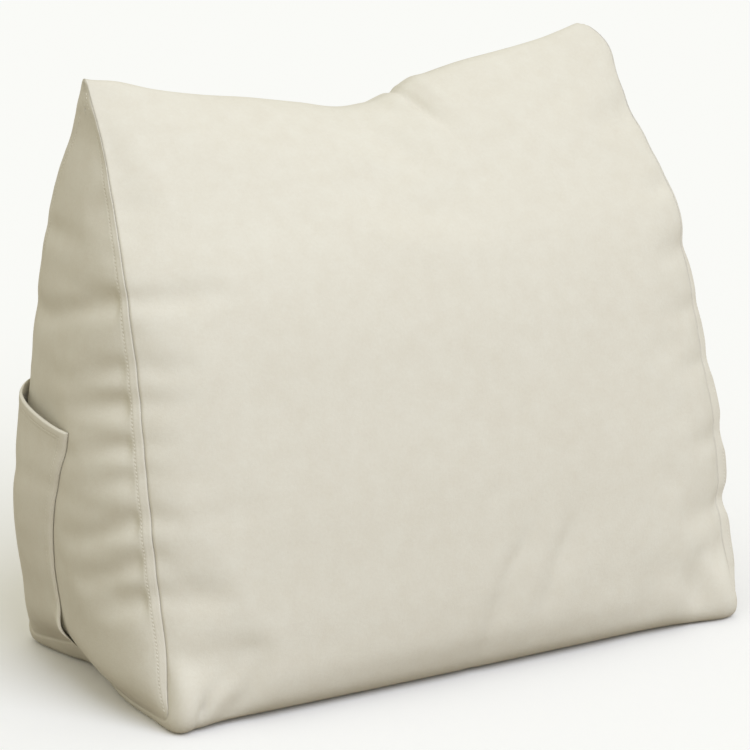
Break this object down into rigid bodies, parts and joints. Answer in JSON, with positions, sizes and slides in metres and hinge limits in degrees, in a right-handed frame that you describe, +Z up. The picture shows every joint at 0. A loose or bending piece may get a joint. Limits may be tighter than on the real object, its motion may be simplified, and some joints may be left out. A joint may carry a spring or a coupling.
{
  "type": "wedge back cushion",
  "caption": "Wedge-shaped back cushion in cream brushed cloth, with a sagging top roll, drawn-in topstitched side seams and an open patch pocket on one side.",
  "frame": {"origin": "on the surface the cushion stands on, under the middle of its whole box, swollen faces and pocket included", "axes": "+X along the width, to the right as seen from the front; +Y towards the back; -Y the leaning front; +Z up"},
  "size_m": [0.5522, 0.2758, 0.4446],
  "materials": {
    "cover_cloth": "matte brushed cream cloth",
    "pocket_cloth": "matte brushed cream cloth"
  },
  "bodies": {
    "root": {"cushion": "cover_cloth", "side_pocket": "pocket_cloth"}
  },
  "joints": []
}
